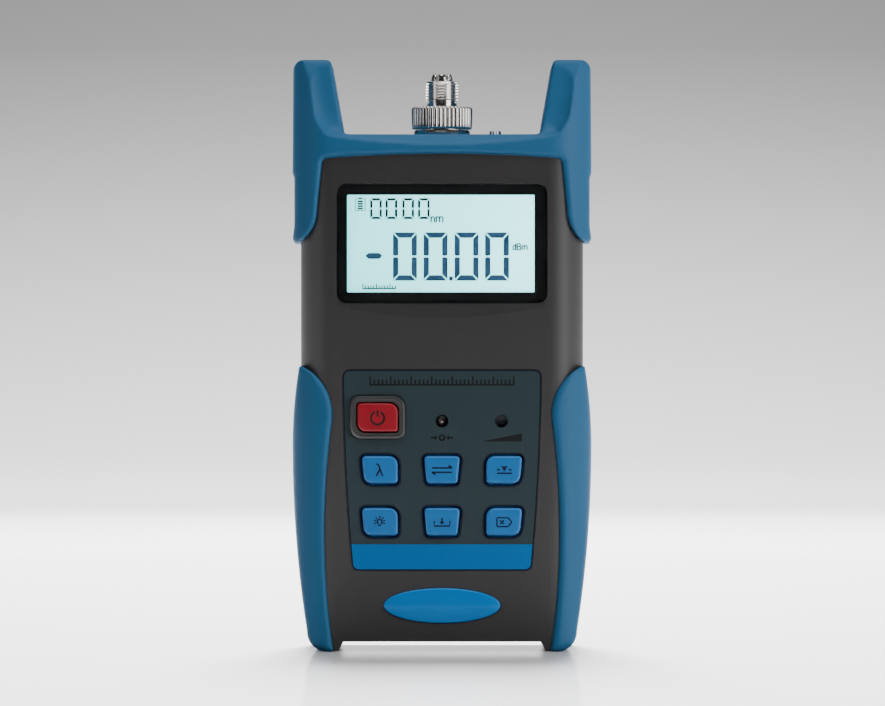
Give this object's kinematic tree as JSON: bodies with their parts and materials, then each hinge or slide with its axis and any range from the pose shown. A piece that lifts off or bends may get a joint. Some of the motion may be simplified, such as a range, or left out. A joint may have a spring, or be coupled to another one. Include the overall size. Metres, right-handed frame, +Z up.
{
  "type": "optical power meter",
  "caption": "Hand-held optical power meter: display, keypad and a screw-on fibre port between two protective rubber horns.",
  "frame": {"origin": "middle of the meter's outline on the surface that its feet stand on", "axes": "+Z up along the meter's length, +X to its right as the user sees it, the display faces -Y"},
  "size_m": [0.089, 0.0334, 0.175],
  "materials": {
    "housing": "satin",
    "blue_rubber": "matte",
    "window": "gloss",
    "display_glass": "gloss",
    "light_guide": "satin",
    "grey_silicone": "matte",
    "film": "satin",
    "red_key": "satin",
    "blue_key": "satin",
    "sensor_resin": "gloss",
    "dark_plastic": "matte",
    "badge": "gloss",
    "circuit_board": "satin",
    "screw_steel": "satin",
    "cell_jacket": "satin",
    "contact_metal": "satin",
    "nickel": "polished"
  },
  "bodies": {
    "meter": {"front_case": "housing", "rear_case": "housing", "top_guard": "blue_rubber", "left_grip": "blue_rubber", "right_grip": "blue_rubber", "lcd_window": "window", "lcd_panel": "display_glass", "lcd_backlight": "light_guide", "elastomer_strips": "grey_silicone", "keypad_overlay": "film", "keypad_mat": "grey_silicone", "light_sensor": "sensor_resin", "trimmer_base": "dark_plastic", "oval_badge": "badge", "main_board": "circuit_board", "case_screws": "screw_steel", "board_screws": "screw_steel", "lanyard_screw": "screw_steel", "battery_cell_1": "cell_jacket", "battery_cell_2": "cell_jacket", "battery_cell_3": "cell_jacket", "contact_springs": "contact_metal", "contact_plates": "contact_metal", "adapter_base": "nickel", "port_nut": "nickel", "detector_can": "nickel"},
    "power_button": {"power_button": "red_key"},
    "wavelength_key": {"wavelength_key": "blue_key"},
    "units_key": {"units_key": "blue_key"},
    "reference_key": {"reference_key": "blue_key"},
    "backlight_key": {"backlight_key": "blue_key"},
    "save_key": {"save_key": "blue_key"},
    "delete_key": {"delete_key": "blue_key"},
    "trimmer": {"trimmer_rotor": "dark_plastic"},
    "adapter": {"adapter_barrel": "nickel", "ferrule_sleeve": "nickel"},
    "adapter_nut": {"adapter_ring": "nickel"},
    "door": {"battery_door": "housing"}
  },
  "joints": [
    {"name": "power_button_press", "type": "slide", "parent": "meter", "child": "power_button", "axis": [0, 1, 0], "range_m": [0, 0.0006], "stiffness_N_per_m": 1200, "springref_m": -0.0004},
    {"name": "wavelength_key_press", "type": "slide", "parent": "meter", "child": "wavelength_key", "axis": [0, 1, 0], "range_m": [0, 0.0006], "stiffness_N_per_m": 1200, "springref_m": -0.0004},
    {"name": "units_key_press", "type": "slide", "parent": "meter", "child": "units_key", "axis": [0, 1, 0], "range_m": [0, 0.0006], "stiffness_N_per_m": 1200, "springref_m": -0.0004},
    {"name": "reference_key_press", "type": "slide", "parent": "meter", "child": "reference_key", "axis": [0, 1, 0], "range_m": [0, 0.0006], "stiffness_N_per_m": 1200, "springref_m": -0.0004},
    {"name": "backlight_key_press", "type": "slide", "parent": "meter", "child": "backlight_key", "axis": [0, 1, 0], "range_m": [0, 0.0006], "stiffness_N_per_m": 1200, "springref_m": -0.0004},
    {"name": "save_key_press", "type": "slide", "parent": "meter", "child": "save_key", "axis": [0, 1, 0], "range_m": [0, 0.0006], "stiffness_N_per_m": 1200, "springref_m": -0.0004},
    {"name": "delete_key_press", "type": "slide", "parent": "meter", "child": "delete_key", "axis": [0, 1, 0], "range_m": [0, 0.0006], "stiffness_N_per_m": 1200, "springref_m": -0.0004},
    {"name": "trimmer_turn", "type": "hinge", "parent": "meter", "child": "trimmer", "pos_m": [0.0176, -0.0116, 0.0681], "axis": [0, -1, 0], "range_deg": [-135, 135]},
    {"name": "adapter_lift", "type": "slide", "parent": "meter", "child": "adapter", "axis": [0, 0, 1], "range_m": [0, 0.00225]},
    {"name": "nut_turn", "type": "hinge", "parent": "adapter", "child": "adapter_nut", "pos_m": [0, 0, 0.1582], "axis": [0, 0, 1], "range_deg": [0, 1080]},
    {"name": "door_tilt", "type": "hinge", "parent": "meter", "child": "door", "pos_m": [0, 0.0153, 0.0253], "axis": [-1, 0, 0], "range_deg": [0, 35]}
  ],
  "couplings": [
    {"joint": "nut_turn", "follows": "adapter_lift", "rad_per_m": 8377.6}
  ]
}
